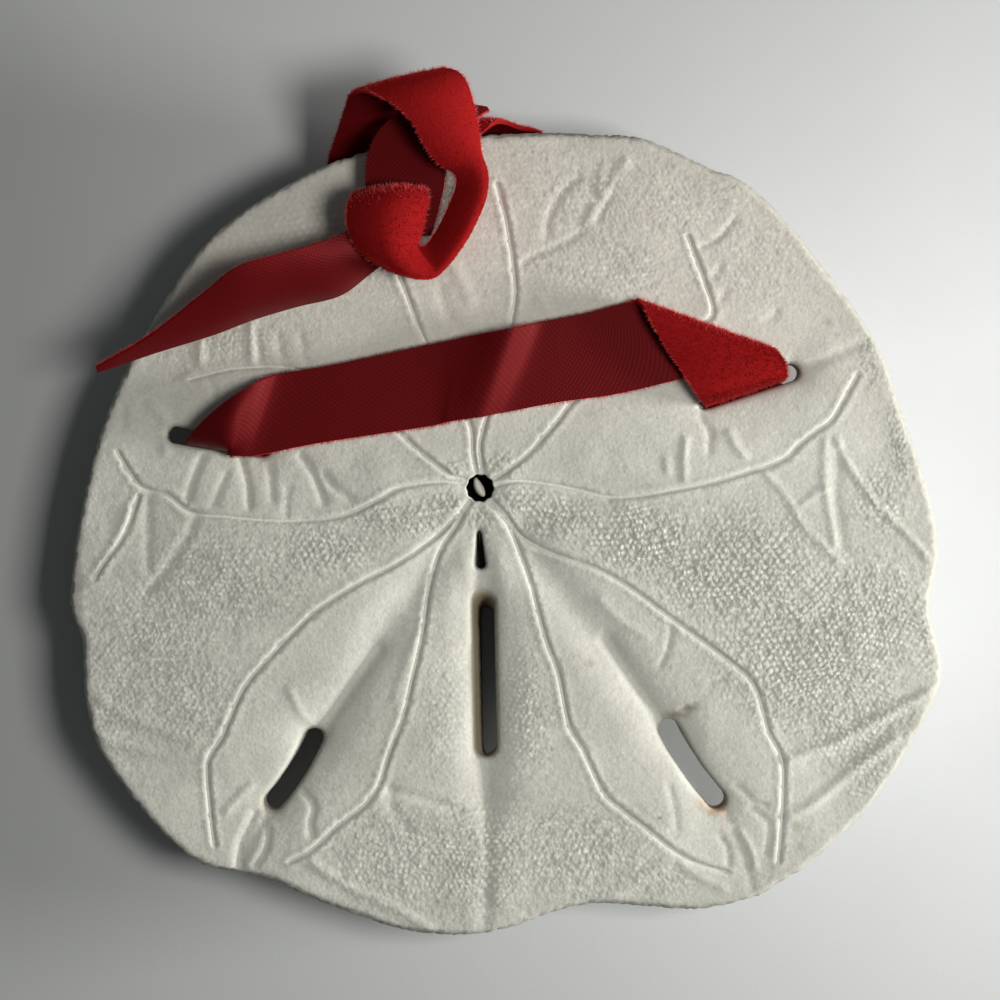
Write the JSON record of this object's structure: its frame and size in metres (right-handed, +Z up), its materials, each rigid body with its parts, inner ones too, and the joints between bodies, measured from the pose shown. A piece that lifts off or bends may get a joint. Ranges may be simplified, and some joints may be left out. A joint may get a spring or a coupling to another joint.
{
  "type": "sand dollar ornament",
  "caption": "Keyhole sand dollar shell with through slots and food grooves, threaded and tied with a narrow velvet and satin ribbon.",
  "frame": {"origin": "on the table, straight below the centre of the mouth", "axes": "+Z up out of the mouth side, +Y towards the knot, +X to the right of the picture"},
  "size_m": [0.1097, 0.1092, 0.0196],
  "materials": {
    "shell": "matte chalky shell with a fine grain",
    "ribbon": "satin weave on one face and cut velvet pile on the other",
    "tooth": "smooth pale calcite"
  },
  "bodies": {
    "root": {"sand_dollar": "shell", "ribbon": "ribbon", "jaw_tooth": "tooth"}
  },
  "joints": []
}
